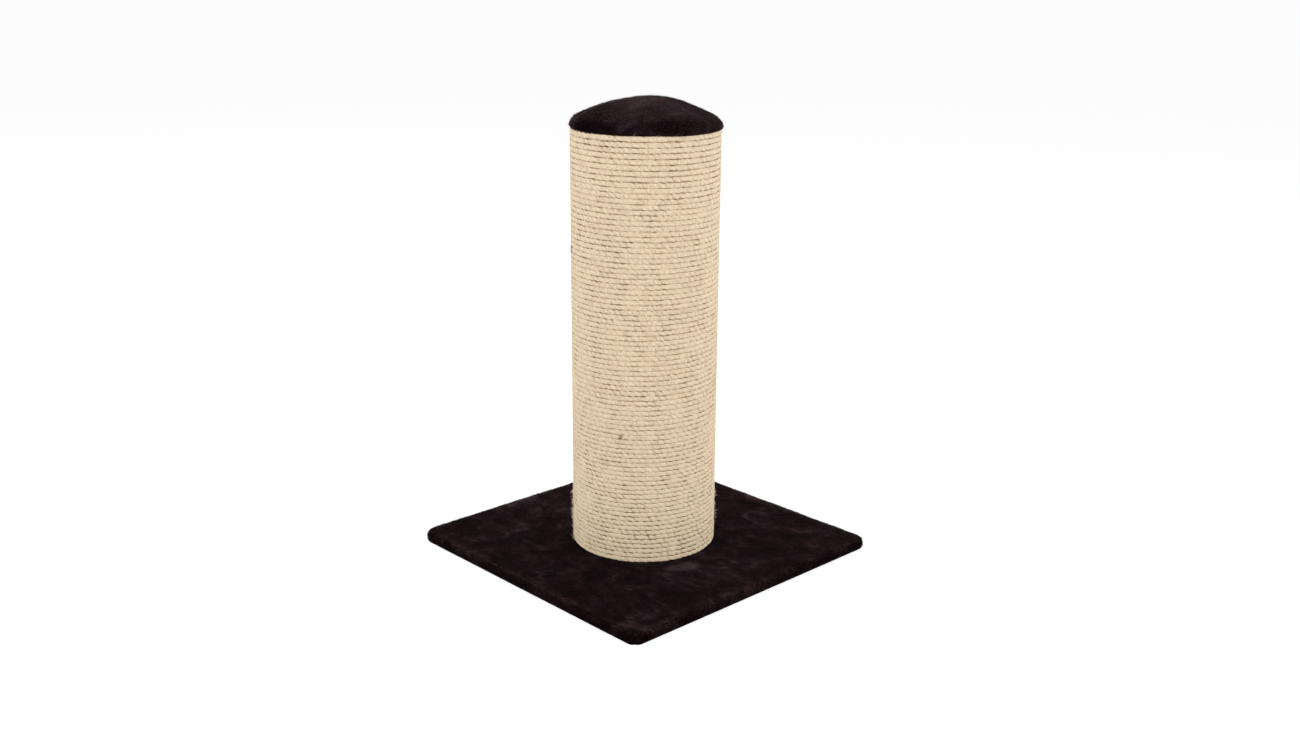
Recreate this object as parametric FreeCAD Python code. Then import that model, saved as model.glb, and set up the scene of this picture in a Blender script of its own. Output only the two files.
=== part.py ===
import FreeCAD, Part
import math
import os

# Cat scratching post: a cardboard tube wound with sisal rope, bolted to a square board in plush,
# with a padded plush cap on top.
# Frame: millimetres, +Z up, origin at the centre of the base's underside, base sides along X and Y.
# Angles are degrees about +Z from +X.

V = FreeCAD.Vector
UP = V(0, 0, 1)
ORIGIN = V(0, 0, 0)

# ---------------------------------------------------------------- driving dimensions

# Base board and its plush
base_side = 350.0                 # over the plush
base_corner_radius = 16.0         # corners seen from above, over the plush
base_edge_radius = 2.5            # top and bottom edges, over the plush
base_board_thickness = 8.0
base_hem_width = 35.0             # plush folded under the board
plush_thickness = 1.5             # pressed pile and backing

# Post
tube_outer_diameter = 144.0
tube_wall = 4.0
tube_length = 448.5
plug_thickness = 18.0

# Rope, in three lengths that meet end to end
rope_diameter = 5.6
lower_join_height = 139.0         # first join, above the tube's foot
upper_join_height = 323.8         # second join, above the tube's foot
lower_squeeze = 0.5               # how far neighbouring turns press into each other
middle_squeeze = 0.3
upper_squeeze = 0.1
crown_chords = 4                  # flats that draw the round back of one turn

# Where the rope ends are stapled
rope_foot_angle = -123.0
lower_join_angle = -62.0
upper_join_angle = -118.5
rope_head_angle = 75.0
join_staple_offset = 5.5          # degrees from a join to the staple on each side of it

# Cap
cap_board_thickness = 8.0
cap_board_edge_radius = 3.0
cap_side_padding = 4.5            # foam drawn down round the cap board's edge
cap_foam_height = 19.0            # foam above the cap board, at the middle
cap_rim_radius = 12.0             # rounded rim of the cover
cap_rim_drop = 6.6                # the rim starts to round over this far below the board's top
cap_foot_radius = 2.0             # bottom edge of the cover
cap_hem_width = 25.0              # plush folded under the cap board

# Countersunk base bolts (M6) and their tee nuts
base_bolt_count = 3
base_bolt_circle_radius = 45.0
base_bolt_first_angle = 90.0
base_bolt_diameter = 6.0
base_bolt_length = 30.0
base_bolt_head_diameter = 12.0
base_bolt_head_height = 3.3
base_bolt_socket_width = 4.0      # across the flats of the hexagon socket
base_bolt_socket_depth = 2.2
base_nut_flange_diameter = 19.0
base_nut_barrel_diameter = 7.8
base_nut_barrel_length = 9.0

# Carriage bolt of the cap (M8) and its tee nut
cap_bolt_diameter = 8.0
cap_bolt_length = 40.0
cap_bolt_head_diameter = 20.0
cap_bolt_head_height = 4.5
cap_bolt_neck_depth = 4.5         # square neck that bites into the cap board
cap_nut_flange_diameter = 22.0
cap_nut_barrel_diameter = 10.0
cap_nut_barrel_length = 11.0

# What all tee nuts share
nut_flange_thickness = 1.5
nut_prong_count = 4
nut_prong_width = 3.0
nut_prong_thickness = 1.2
nut_prong_length = 6.0

# Brads that hold each plug in the tube
brad_count = 6
brad_first_angle = 0.0
brad_diameter = 1.6
brad_length = 20.0
brad_head_diameter = 3.2
brad_head_thickness = 0.8

# Staples
staple_wire_width = 1.2
staple_wire_thickness = 0.6
staple_sink = 0.3                 # crown pressed below the plush's surface
hem_staple_crown = 10.0
hem_staple_leg = 6.0
base_staple_inset = 20.0          # from the base's side
base_staple_corner_gap = 45.0     # from the base's corner to the first staple
base_staple_spacing = 32.0
cap_staple_inset = 16.0           # from the cap's side
cap_staple_count = 12
rope_staple_crown = 4.0
rope_staple_leg = 9.0
rope_staple_sink = 0.8            # crown pressed in between the strands, below the rope's back

# Clearances
fit_gap = 0.1                     # between stretched, glued or pressed faces that curve
thread_gap = 0.05                 # bolt to nut, on the radius
bolt_gap = 0.3                    # bolt to the hole that it passes through, on the radius
smallest_radius = 0.3             # least rounding left on an edge that is set in
fillet_share = 0.45               # most of a wall that one edge's rounding may take
overrun = 1.0                     # how far a cutting tool runs past the face that it cuts

# ---------------------------------------------------------------- worked out from them

wrap = plush_thickness + fit_gap
board_bottom = wrap
board_top = board_bottom + base_board_thickness
base_top = board_top + wrap

tube_foot = base_top
tube_head = tube_foot + tube_length
tube_outer_radius = tube_outer_diameter / 2
tube_inner_radius = tube_outer_radius - tube_wall
plug_radius = tube_inner_radius - fit_gap
bottom_plug_top = tube_foot + plug_thickness
top_plug_bottom = tube_head - plug_thickness

rope_radius = rope_diameter / 2
rope_inner_radius = tube_outer_radius + fit_gap
rope_centre_radius = rope_inner_radius + rope_radius
rope_outer_radius = rope_inner_radius + rope_diameter
lower_join = tube_foot + lower_join_height
upper_join = tube_foot + upper_join_height

cap_outer_radius = rope_outer_radius
cap_board_radius = cap_outer_radius - wrap - cap_side_padding
cap_board_bottom = tube_head + wrap
cap_board_top = cap_board_bottom + cap_board_thickness
cap_apex = cap_board_top + cap_foam_height + wrap
rim_centre_radius = cap_outer_radius - cap_rim_radius
rim_centre_height = cap_board_top - cap_rim_drop
rim_to_apex = cap_apex - rim_centre_height
# The crown is one arc on the axis that meets the rim's arc with a common tangent.
crown_radius = ((rim_centre_radius ** 2 + rim_to_apex ** 2 - cap_rim_radius ** 2)
                / (2 * (rim_to_apex - cap_rim_radius)))
crown_centre_height = cap_apex - crown_radius
rim_end_angle = math.atan2(rim_centre_height - crown_centre_height, rim_centre_radius)

# ---------------------------------------------------------------- helpers


def polar(radius, degrees, height=0.0):
    """Point at a radius and an angle about the Z axis."""
    turn = math.radians(degrees)
    return V(radius * math.cos(turn), radius * math.sin(turn), height)


def cylinder(radius, bottom, top, centre=ORIGIN):
    """Upright cylinder between two heights."""
    return Part.makeCylinder(radius, top - bottom, V(centre.x, centre.y, bottom))


def revolve(edges):
    """Solid swept by a closed outline in the XZ plane, once round the Z axis."""
    return Part.Face(Part.Wire(edges)).revolve(ORIGIN, UP, 360)


def evenly(count, first_angle=0.0):
    """Angles of a ring of equal steps."""
    return [first_angle + 360.0 * step / count for step in range(count)]


def rounded_slab(side, corner_radius, edge_radius, bottom, height):
    """Square slab about the Z axis with rounded corners and rounded top and bottom edges."""
    slab = Part.makeBox(side, side, height, V(-side / 2, -side / 2, bottom))
    uprights = [edge for edge in slab.Edges if edge.BoundBox.ZLength > height / 2]
    slab = slab.makeFillet(corner_radius, uprights)
    rims = [edge for edge in slab.Edges if edge.BoundBox.ZLength < height / 2]
    return slab.makeFillet(min(edge_radius, fillet_share * height), rims)


def base_slab(inset, bottom, top):
    """The base's outline set in all round, between two heights."""
    return rounded_slab(base_side - 2 * inset,
                        max(base_corner_radius - inset, smallest_radius),
                        max(base_edge_radius - inset, smallest_radius),
                        bottom, top - bottom)


def cap_dome(inset, bottom):
    """The cap's outline set in all round: flat foot, upright side, rounded rim, one crown arc."""
    side = cap_outer_radius - inset
    foot = max(cap_foot_radius - inset, smallest_radius)
    foot = min(foot, fillet_share * (rim_centre_height - bottom))
    rim = cap_rim_radius - inset
    crown = crown_radius - inset

    def on_foot(angle):
        return V(side - foot + foot * math.cos(angle), 0, bottom + foot + foot * math.sin(angle))

    def on_rim(angle):
        return V(rim_centre_radius + rim * math.cos(angle), 0, rim_centre_height + rim * math.sin(angle))

    def on_crown(angle):
        return V(crown * math.cos(angle), 0, crown_centre_height + crown * math.sin(angle))

    up = math.pi / 2
    centre = V(0, 0, bottom)
    return revolve([
        Part.LineSegment(centre, on_foot(-up)).toShape(),
        Part.Arc(on_foot(-up), on_foot(-up / 2), on_foot(0)).toShape(),
        Part.LineSegment(on_foot(0), on_rim(0)).toShape(),
        Part.Arc(on_rim(0), on_rim(rim_end_angle / 2), on_rim(rim_end_angle)).toShape(),
        Part.Arc(on_crown(rim_end_angle), on_crown((rim_end_angle + up) / 2), on_crown(up)).toShape(),
        Part.LineSegment(on_crown(up), centre).toShape(),
    ])


def staple(crown, leg, gap=0.0):
    """One staple: its crown's outer face lies on Z = 0 along X, and its legs point up. The gap grows it
    all round, for its slot."""
    wide = staple_wire_width + 2 * gap
    thick = staple_wire_thickness + 2 * gap
    long = crown + 2 * gap
    deep = leg + 2 * gap
    bar = Part.makeBox(long, wide, thick, V(-long / 2, -wide / 2, -gap))
    legs = [Part.makeBox(thick, wide, deep, V(start, -wide / 2, -gap))
            for start in (-long / 2, long / 2 - thick)]
    return bar.fuse(legs).removeSplitter()


def driven(template, place, crown_along, legs_along):
    """Copy of a staple with its crown's middle at a place, turned to lie along the two directions."""
    copy = template.copy()
    across = legs_along.cross(crown_along)
    copy.Placement = FreeCAD.Placement(place, FreeCAD.Rotation(crown_along, across, legs_along))
    return copy


def tee_nut(bore, flange_diameter, barrel_diameter, barrel_length, gap=0.0):
    """Tee nut whose flange rests on Z = 0 and whose barrel and prongs point down. A nut with no bore and
    a gap is the seat that it needs in the wood."""
    flange = cylinder(flange_diameter / 2 + gap, 0, nut_flange_thickness + gap)
    barrel = cylinder(barrel_diameter / 2 + gap, -barrel_length - gap, 0)
    prong_outer = flange_diameter / 2 - nut_prong_thickness / 2
    prongs = []
    for angle in evenly(nut_prong_count):
        prong = Part.makeBox(nut_prong_thickness + 2 * gap, nut_prong_width + 2 * gap,
                             nut_prong_length + gap,
                             V(prong_outer - nut_prong_thickness - gap, -nut_prong_width / 2 - gap,
                               -nut_prong_length - gap))
        prong.rotate(ORIGIN, UP, angle)
        prongs.append(prong)
    nut = flange.fuse([barrel] + prongs)
    if bore:
        nut = nut.cut(cylinder(bore / 2 + thread_gap, -barrel_length - overrun,
                               nut_flange_thickness + overrun))
    return nut.removeSplitter()


def countersunk_bolt(gap=0.0, socket=True):
    """Base bolt with its head's face on Z = 0 and its shank up. The gap grows it, for its hole."""
    head_radius = base_bolt_head_diameter / 2
    shank_radius = base_bolt_diameter / 2 + gap
    bolt = Part.makeCone(head_radius + gap, shank_radius, base_bolt_head_height)
    bolt = bolt.fuse(cylinder(shank_radius, 0, base_bolt_length))
    if socket:
        corner = base_bolt_socket_width / math.sqrt(3)
        ring = [polar(corner, angle, -overrun) for angle in evenly(6)]
        hexagon = Part.Face(Part.makePolygon(ring + ring[:1]))
        bolt = bolt.cut(hexagon.extrude(UP * (base_bolt_socket_depth + overrun)))
    return bolt.removeSplitter()


def carriage_bolt(gap=0.0):
    """Cap bolt with its domed head above Z = 0, a square neck below it and its shank down."""
    radius = cap_bolt_head_diameter / 2
    height = cap_bolt_head_height
    ball = (radius ** 2 + height ** 2) / (2 * height)
    half = math.asin(radius / ball) / 2
    shoulder = V(ball * math.sin(half), 0, height - ball + ball * math.cos(half))
    head = revolve([
        Part.LineSegment(ORIGIN, V(radius, 0, 0)).toShape(),
        Part.Arc(V(radius, 0, 0), shoulder, V(0, 0, height)).toShape(),
        Part.LineSegment(V(0, 0, height), ORIGIN).toShape(),
    ])
    side = cap_bolt_diameter + 2 * gap
    neck = Part.makeBox(side, side, cap_bolt_neck_depth + gap,
                        V(-side / 2, -side / 2, -cap_bolt_neck_depth - gap))
    shank = cylinder(cap_bolt_diameter / 2 + gap, -cap_bolt_length - gap, 0)
    return head.fuse([neck, shank]).removeSplitter()


def brads(height, gap=0.0):
    """Ring of brads driven through the tube's wall into a plug, heads flush with the tube."""
    ring = []
    for angle in evenly(brad_count, brad_first_angle):
        inward = polar(-1, angle)
        start = polar(tube_outer_radius - fit_gap, angle, height)
        shank = Part.makeCylinder(brad_diameter / 2 + gap, brad_length + gap, start, inward)
        head = Part.makeCylinder(brad_head_diameter / 2 + gap, brad_head_thickness + gap, start, inward)
        ring.append(shank.fuse(head).removeSplitter())
    return ring


def moved(shape, offset, flip=False):
    """Copy of a shape turned over about the X axis, if asked, and then moved."""
    copy = shape.copy()
    if flip:
        copy.rotate(ORIGIN, V(1, 0, 0), 180)
    copy.translate(offset)
    return copy


def export(node, *solids):
    """Write one node, a single solid or a group of separate ones."""
    shape = solids[0] if len(solids) == 1 else Part.makeCompound(solids)
    shape.exportStep("parts/" + node + ".step")


# ---------------------------------------------------------------- fasteners


base_bolt_places = [polar(base_bolt_circle_radius, angle)
                    for angle in evenly(base_bolt_count, base_bolt_first_angle)]
lower_brad_height = tube_foot + plug_thickness / 2
upper_brad_height = tube_head - plug_thickness / 2


def base_hem_staples(gap=0.0):
    """Rows of staples through the hem under the base board, along its four sides."""
    template = staple(hem_staple_crown, hem_staple_leg, gap)
    run = base_side - 2 * base_staple_corner_gap
    steps = max(1, round(run / base_staple_spacing))
    inset = base_side / 2 - base_staple_inset
    row = []
    for quarter in evenly(4):
        along = polar(1, quarter + 90)
        for step in range(steps + 1):
            place = polar(inset, quarter, staple_sink) + along * (run * (step / steps - 0.5))
            row.append(driven(template, place, along, UP))
    return row


def cap_hem_staples(gap=0.0):
    """Ring of staples through the hem under the cap board."""
    template = staple(hem_staple_crown, hem_staple_leg, gap)
    inset = cap_outer_radius - cap_staple_inset
    return [driven(template, polar(inset, angle, tube_head + staple_sink), polar(1, angle + 90), UP)
            for angle in evenly(cap_staple_count)]


def rope_staples(ends, gap=0.0):
    """Staples across the last turn at each rope end, given as (angle, height of the turn's middle)."""
    template = staple(rope_staple_crown, rope_staple_leg, gap)
    sunk = rope_outer_radius - rope_staple_sink
    return [driven(template, polar(sunk, angle, height), UP, polar(-1, angle)) for angle, height in ends]


# ---------------------------------------------------------------- base


def make_base_board():
    """Fibreboard square with countersunk bolt holes and the pricks of the hem's staples."""
    holes = [moved(countersunk_bolt(bolt_gap, socket=False), place + V(0, 0, board_bottom))
             for place in base_bolt_places]
    board = base_slab(wrap, board_bottom, board_top)
    return board.cut(holes + base_hem_staples(fit_gap))


def make_base_plush_cover():
    """Plush drawn over the board and folded under it, with holes for the bolts."""
    outside = base_slab(0, 0, base_top)
    inside = base_slab(plush_thickness, plush_thickness, base_top - plush_thickness)
    window_side = base_side - 2 * base_hem_width
    window = Part.makeBox(window_side, window_side, plush_thickness + 2 * overrun,
                          V(-window_side / 2, -window_side / 2, -overrun))
    holes = [cylinder(base_bolt_diameter / 2 + bolt_gap, board_top - overrun, base_top + overrun, place)
             for place in base_bolt_places]
    return outside.cut([inside, window] + holes + base_hem_staples(fit_gap))


def make_base_bolts():
    """Countersunk bolts, heads flush with the board's underside."""
    return [moved(countersunk_bolt(), place + V(0, 0, board_bottom)) for place in base_bolt_places]


# ---------------------------------------------------------------- post


def bottom_nuts(bore, gap=0.0):
    """Tee nuts on top of the bottom plug, over the base bolts."""
    nut = tee_nut(bore, base_nut_flange_diameter, base_nut_barrel_diameter, base_nut_barrel_length, gap)
    return [moved(nut, place + V(0, 0, bottom_plug_top)) for place in base_bolt_places]


def top_nut(bore, gap=0.0):
    """Tee nut under the top plug, on the axis, barrel up."""
    nut = tee_nut(bore, cap_nut_flange_diameter, cap_nut_barrel_diameter, cap_nut_barrel_length, gap)
    return moved(nut, V(0, 0, top_plug_bottom), flip=True)


def make_bottom_plug():
    """Disc in the tube's foot, drilled for the base bolts, their nuts and the brads."""
    disc = cylinder(plug_radius, tube_foot, bottom_plug_top)
    drilled = [cylinder(base_bolt_diameter / 2 + bolt_gap, tube_foot - overrun,
                        bottom_plug_top + overrun, place) for place in base_bolt_places]
    return disc.cut(drilled + bottom_nuts(None, fit_gap) + brads(lower_brad_height, fit_gap))


def make_top_plug():
    """Disc in the tube's head, drilled for the cap bolt, its nut and the brads."""
    disc = cylinder(plug_radius, top_plug_bottom, tube_head)
    drilled = cylinder(cap_bolt_diameter / 2 + bolt_gap, top_plug_bottom - overrun, tube_head + overrun)
    return disc.cut([drilled, top_nut(None, fit_gap)] + brads(upper_brad_height, fit_gap))


def make_post_tube(rope_ends):
    """Cardboard tube, pricked by the brads and by the rope's staples."""
    tube = cylinder(tube_outer_radius, tube_foot, tube_head)
    bore = cylinder(tube_inner_radius, tube_foot - overrun, tube_head + overrun)
    pricks = (brads(lower_brad_height, fit_gap) + brads(upper_brad_height, fit_gap)
              + rope_staples(rope_ends, fit_gap))
    return tube.cut([bore] + pricks)


# ---------------------------------------------------------------- rope


def turn_pitch(bottom, top, squeeze):
    """Whole number of turns that fills a height, and the pitch that this gives."""
    turns = max(1, round((top - bottom) / (rope_diameter - squeeze)))
    return turns, (top - bottom) / turns


def make_rope_length(bottom, top, squeeze, ends):
    """One length of rope as a stack of closed turns: flat against the tube, and round outside, where
    each turn's back is an arc of the rope's circle between the grooves beside it, drawn as chords."""
    turns, pitch = turn_pitch(bottom, top, squeeze)
    half_height = min(pitch / 2, rope_radius)
    half_angle = math.asin(half_height / rope_radius)
    outline = [V(rope_inner_radius, 0, bottom)]
    for turn in range(turns):
        middle = bottom + (turn + 0.5) * pitch
        for chord in range(crown_chords + (turn == turns - 1)):
            angle = half_angle * (2 * chord / crown_chords - 1)
            rise = pitch / 2 * math.sin(angle) / math.sin(half_angle)
            outline.append(V(rope_centre_radius + rope_radius * math.cos(angle), 0, middle + rise))
    outline.append(V(rope_inner_radius, 0, top))
    stack = Part.Face(Part.makePolygon(outline + outline[:1])).revolve(ORIGIN, UP, 360)
    return stack.cut(rope_staples(ends, fit_gap))


rope_plan = []
for node, bottom, top, squeeze, foot_angle, head_angle in (
        ("rope_lower_length", tube_foot, lower_join, lower_squeeze,
         rope_foot_angle, lower_join_angle - join_staple_offset),
        ("rope_middle_length", lower_join, upper_join, middle_squeeze,
         lower_join_angle + join_staple_offset, upper_join_angle - join_staple_offset),
        ("rope_upper_length", upper_join, tube_head, upper_squeeze,
         upper_join_angle + join_staple_offset, rope_head_angle)):
    half_pitch = turn_pitch(bottom, top, squeeze)[1] / 2
    ends = [(foot_angle, bottom + half_pitch), (head_angle, top - half_pitch)]
    rope_plan.append((node, bottom, top, squeeze, ends))
all_rope_ends = [end for plan in rope_plan for end in plan[4]]

# ---------------------------------------------------------------- cap


def cap_bolt_shape(gap=0.0):
    """Carriage bolt standing in the cap board, its head under the foam."""
    return moved(carriage_bolt(gap), V(0, 0, cap_board_top))


def cap_disc(gap, bottom):
    """The cap board's outline with a softened top edge. The gap grows it, for its seat in the foam."""
    disc = cylinder(cap_board_radius + gap, bottom, cap_board_top)
    top_edge = [edge for edge in disc.Edges if edge.BoundBox.ZMin > (bottom + cap_board_top) / 2]
    return disc.makeFillet(min(cap_board_edge_radius, fillet_share * cap_board_thickness), top_edge)


def make_cap_board():
    """Fibreboard disc with a square-topped hole for the bolt's neck."""
    return cap_disc(0, cap_board_bottom).cut([cap_bolt_shape(fit_gap)] + cap_hem_staples(fit_gap))


def make_cap_foam():
    """Foam pad over the board and down round its edge, hollowed by the bolt's head."""
    pad = cap_dome(wrap, cap_board_bottom)
    seat = cap_disc(fit_gap, cap_board_bottom - overrun)
    hollow = cylinder(cap_bolt_head_diameter / 2 + fit_gap, cap_board_top - overrun,
                      cap_board_top + cap_bolt_head_height + fit_gap)
    return pad.cut([seat, hollow])


def make_cap_plush_cover():
    """Plush drawn over the foam and folded under the cap board."""
    outside = cap_dome(0, tube_head)
    inside = cap_dome(plush_thickness, tube_head + plush_thickness)
    window = cylinder(cap_outer_radius - cap_hem_width, tube_head - overrun,
                      tube_head + plush_thickness + overrun)
    return outside.cut([inside, window] + cap_hem_staples(fit_gap))


# ---------------------------------------------------------------- write the nodes

os.makedirs("parts", exist_ok=True)

export("base_board", make_base_board())
export("base_plush_cover", make_base_plush_cover())
export("base_hem_staples", *base_hem_staples())
export("base_bolts", *make_base_bolts())

export("bottom_tee_nuts", *bottom_nuts(base_bolt_diameter))
export("bottom_plug", make_bottom_plug())
export("bottom_plug_brads", *brads(lower_brad_height))
export("post_tube", make_post_tube(all_rope_ends))
export("top_plug", make_top_plug())
export("top_plug_brads", *brads(upper_brad_height))
export("top_tee_nut", top_nut(cap_bolt_diameter))

for plan in rope_plan:
    export(plan[0], make_rope_length(*plan[1:]))
export("rope_end_staples", *rope_staples(all_rope_ends))

export("cap_board", make_cap_board())
export("cap_bolt", cap_bolt_shape())
export("cap_foam", make_cap_foam())
export("cap_plush_cover", make_cap_plush_cover())
export("cap_hem_staples", *cap_hem_staples())
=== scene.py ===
import math

import bpy
import numpy as np
from mathutils import Matrix, Vector


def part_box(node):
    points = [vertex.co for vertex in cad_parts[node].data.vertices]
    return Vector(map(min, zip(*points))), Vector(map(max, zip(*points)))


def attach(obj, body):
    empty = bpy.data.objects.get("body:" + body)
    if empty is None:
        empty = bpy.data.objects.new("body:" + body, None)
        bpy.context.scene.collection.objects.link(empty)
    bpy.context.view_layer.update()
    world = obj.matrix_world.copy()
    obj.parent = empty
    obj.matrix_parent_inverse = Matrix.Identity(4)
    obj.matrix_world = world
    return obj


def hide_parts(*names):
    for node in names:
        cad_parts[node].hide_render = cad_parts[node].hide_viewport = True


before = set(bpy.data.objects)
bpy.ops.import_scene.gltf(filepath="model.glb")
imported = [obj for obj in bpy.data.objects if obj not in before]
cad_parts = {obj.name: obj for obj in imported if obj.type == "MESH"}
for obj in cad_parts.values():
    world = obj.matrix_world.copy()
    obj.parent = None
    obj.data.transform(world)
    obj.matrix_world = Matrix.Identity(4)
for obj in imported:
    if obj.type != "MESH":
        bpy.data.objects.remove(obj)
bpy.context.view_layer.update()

# Looks of a cat scratching post: sisal rope wound on a post, a square base in plush and a padded plush cap.
# Metres, +Z up, origin at the centre of the base's underside. Angles in degrees unless a name says radians.

MM = 0.001
TURN = 2 * math.pi

# ---------------------------------------------------------------- sizes read from the frame

rope_low, rope_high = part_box("rope_lower_length")
cover_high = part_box("base_plush_cover")[1]
cap_low, cap_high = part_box("cap_plush_cover")

ROPE_FOOT = rope_low.z
LOWER_JOIN = rope_high.z
UPPER_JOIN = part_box("rope_middle_length")[1].z
ROPE_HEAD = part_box("rope_upper_length")[1].z
ROPE_OUTER_RADIUS = rope_high.x
TUBE_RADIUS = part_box("post_tube")[1].x
BASE_HALF = cover_high.x
BASE_TOP = cover_high.z

# ---------------------------------------------------------------- sizes of the finish

# Rope
ROPE_RADIUS = 2.8 * MM
ROPE_CENTRE_RADIUS = ROPE_OUTER_RADIUS - ROPE_RADIUS
TURN_LENGTH = TURN * ROPE_CENTRE_RADIUS
FOOT_ANGLE = -123.0               # where the rope starts, at the base
LOWER_JOIN_TURN = 27.17           # turns from the foot to each join, and to the head
UPPER_JOIN_TURN = 62.01
HEAD_TURN = 84.55
LAY = 21 * MM                     # length of rope in which a strand goes once round
STRANDS = 3
# Places round the rope's section, from its outermost point up and round: close together at its corners,
# few where it lies on the tube.
SECTION = np.radians([0, 12, 27, 42, 60, 95, 180, 265, 300, 318, 333, 348])
STRAND_DEPTH = 0.10               # how deep the grooves between strands are, as a share of the radius
PRESS = 1.08                      # how far a turn presses into its neighbours, as a share of its height
SQUARENESS = 0.40                 # power that makes the rope's section squarer than an ellipse
SAMPLES_PER_TURN = 234
FLAT_TURNS = 8                    # the winding levels out over these turns, at its foot and head
STEP_SHARE = 0.14                 # share of a flat turn in which it steps up to the next
JOIN_GAP = 1.1 * MM               # between the two ends that meet at a join
BULGE = 1.3 * MM                  # how far the rope stands out at the upper join, and along how much rope
BULGE_REACH = 6 * MM
# A turn doesn't lie quite square to the post: at these heights it rises this much from its middle to the
# right, seen from the front, and falls as much to the left.
FRONT_AZIMUTH = 46.83             # of the side that is called the front
LEAN_HEIGHTS = np.array([0, 80, 166, 225, 397, 460]) * MM
LEANS = np.array([0, 1.0, 0.35, 0.9, -1.9, 0]) * MM
FIBRE_WIDTH = 0.22 * MM
TUFT_WIDTH = 0.8 * MM             # of the fibres rubbed up near the foot

# Base cover
CORNER_RADII = np.array([13, 16, 16, 11.5]) * MM      # right, back, left and front corner
TOP_EDGE_RADIUS = 3.3 * MM
FOOT_EDGE_RADIUS = 1.8 * MM
SKIN = 1.5 * MM
HEM = 35 * MM
# Spots where the nap is lighter: x, y and reach in millimetres, and how far
# On the base the smaller spots are nap rubbed open, and the two of 50 mm reach are painted sheen over its
# back left and back right.
BASE_SPOTS = ((96, -26, 11, 1.9), (86, -40, 8, 1.2), (88, -60, 9, 0.6), (62, -130, 10, 0.5),
              (-118, -140, 12, 0.5), (148, -150, 14, 0.5), (155, 120, 16, 0.5), (-146, -28, 50, 0.6),
              (20, 140, 50, 0.25))
# On the cap the last, broad spot is a painted highlight on its right, and the others are nap rubbed open.
CAP_SPOTS = ((67, -18, 6, 1.8), (29, -48, 5, 1.2), (15, -17, 4, 0.9), (14, -66, 6, 0.9), (-42, -64, 7, 1.0),
             (45, 20, 26, 0.35))
STRAIGHT_STEPS = 138
CORNER_STEPS = 13

# Camera, from the photograph
IMAGE_WIDTH = 1300
FOCAL_PIXELS = 1402.4
CAMERA_AZIMUTH = FRONT_AZIMUTH
CAMERA_DISTANCE = 1.4433          # on the ground, from the post's axis
CAMERA_HEIGHT = 0.6305
CAMERA_TILT = 16.57
CAMERA_ROLL = 0.366
CAMERA_PAN = -0.236

# ---------------------------------------------------------------- noise and grids

random = np.random.default_rng(7)
LATTICE = random.uniform(-1, 1, (32, 32, 32))


def noise(points, cell, shift=0.0):
    """Smooth noise from -1 to 1: random values at the corners of a cubic lattice of that cell size,
    blended inside each cell with the weights 3t² - 2t³."""
    scaled = np.asarray(points) / cell + shift
    corner = np.floor(scaled).astype(int)
    part = scaled - corner
    part = part * part * (3 - 2 * part)
    total = np.zeros(scaled.shape[:-1])
    for step in np.ndindex(2, 2, 2):
        index = (corner + step) % 32
        weight = np.prod(np.where(step, part, 1 - part), axis=-1)
        total += weight * LATTICE[index[..., 0], index[..., 1], index[..., 2]]
    return total


def line_noise(distance, cell, shift=0.0):
    """The same noise along a line."""
    zeros = np.zeros_like(distance)
    return noise(np.stack([distance, zeros, zeros], -1), cell, shift)


def smooth(value):
    """0 below 0, 1 above 1, and 3t² - 2t³ between."""
    held = np.clip(value, 0, 1)
    return held * held * (3 - 2 * held)


def grid_normals(points):
    """Unit normals of a grid whose columns turn left round it while its rows lead outwards: the rows'
    step crossed with the columns' step."""
    along_rows = np.gradient(points, axis=0)
    along_columns = np.roll(points, -1, 1) - np.roll(points, 1, 1)
    normal = np.cross(along_rows, along_columns)
    return normal / np.maximum(np.linalg.norm(normal, axis=-1, keepdims=True), 1e-12)


def make_piece(name, vertices, groups, material, uv=None, values=None, shade_smooth=True):
    """Mesh object from vertices and groups of faces, each group an array with a row of corners a face.
    uv is one pair a corner, and values holds named attributes of one number a vertex."""
    corners = np.concatenate([group.ravel() for group in groups])
    sizes = np.concatenate([np.full(len(group), group.shape[1]) for group in groups])
    mesh = bpy.data.meshes.new(name)
    mesh.vertices.add(len(vertices))
    mesh.vertices.foreach_set("co", np.ascontiguousarray(vertices, np.float32).ravel())
    mesh.loops.add(len(corners))
    mesh.loops.foreach_set("vertex_index", corners.astype(np.int32))
    mesh.polygons.add(len(sizes))
    mesh.polygons.foreach_set("loop_start", (np.cumsum(sizes) - sizes).astype(np.int32))
    mesh.polygons.foreach_set("use_smooth", np.full(len(sizes), shade_smooth))
    if uv is not None:
        layer = mesh.uv_layers.new(name="surface")
        layer.data.foreach_set("uv", np.ascontiguousarray(uv, np.float32).ravel())
    for attribute, numbers in (values or {}).items():
        layer = mesh.attributes.new(attribute, "FLOAT", "POINT")
        layer.data.foreach_set("value", numbers.astype(np.float32))
    mesh.update(calc_edges=True)
    mesh.materials.append(material)
    piece = bpy.data.objects.new(name, mesh)
    bpy.context.scene.collection.objects.link(piece)
    return piece


def tube_faces(rows, columns):
    """Quads between the rows of a grid whose last column meets its first, facing outwards when the
    columns turn left round the rows' direction."""
    row, column = np.meshgrid(np.arange(rows - 1), np.arange(columns), indexing="ij")
    here = row * columns + column
    beside = row * columns + (column + 1) % columns
    return np.stack([here, beside, beside + columns, here + columns], -1).reshape(-1, 4)


def fans(rows, columns, first_point, last_point):
    """Triangles that close a tube at both ends, each round its own middle point."""
    column = np.arange(columns)
    beside = (column + 1) % columns
    start = np.stack([beside, column, np.full(columns, first_point)], -1)
    end_row = (rows - 1) * columns
    end = np.stack([end_row + column, end_row + beside, np.full(columns, last_point)], -1)
    return np.concatenate([start, end])


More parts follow.
